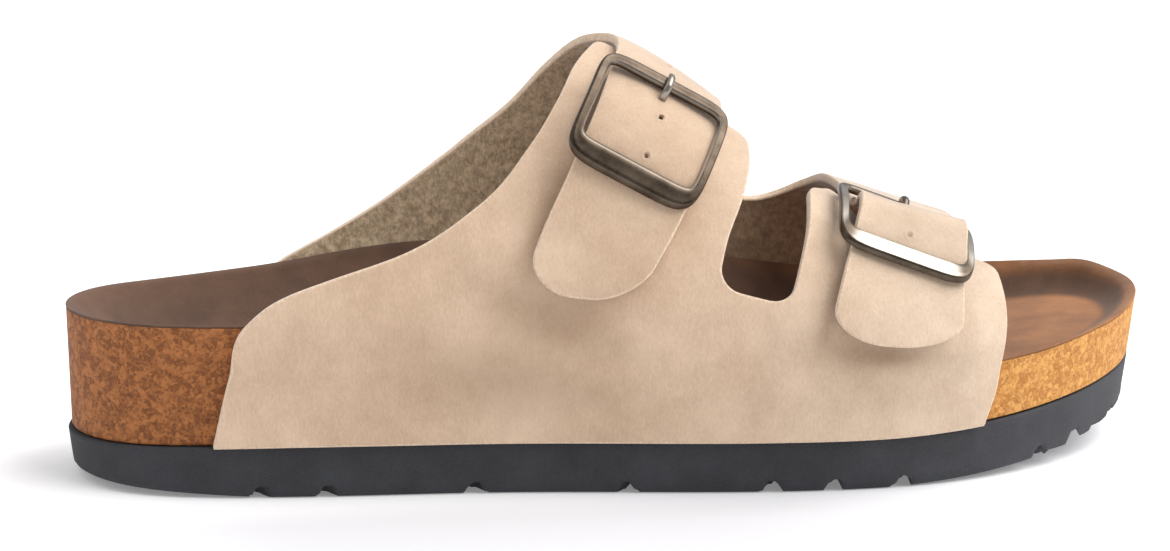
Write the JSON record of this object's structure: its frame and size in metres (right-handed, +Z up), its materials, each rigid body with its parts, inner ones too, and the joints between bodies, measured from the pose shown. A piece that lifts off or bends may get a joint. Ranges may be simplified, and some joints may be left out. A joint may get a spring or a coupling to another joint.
{
  "type": "double strap sandal",
  "caption": "Open sandal for the right foot: two buckled suede straps over a moulded cork footbed on a dark grooved foam outsole.",
  "frame": {"origin": "on the floor under the middle of the sandal's box", "axes": "+X to the toe, +Y to the inner side of the foot, +Z up"},
  "size_m": [0.2714, 0.1066, 0.1051],
  "materials": {
    "outsole_foam": "matte foamed sole, dark grey",
    "cork": "pressed cork, sealed, flecked",
    "insole_suede": "brown suede lining, worn smooth",
    "upper_suede": "beige suede with a short nap",
    "buckle_metal": "antiqued, dark, polished on the edges"
  },
  "bodies": {
    "root": {"outsole": "outsole_foam", "cork_footbed": "cork", "insole": "insole_suede", "upper": "upper_suede", "rear_buckle_frame": "buckle_metal", "rear_buckle_prong": "buckle_metal", "front_buckle_frame": "buckle_metal", "front_buckle_prong": "buckle_metal"}
  },
  "joints": []
}
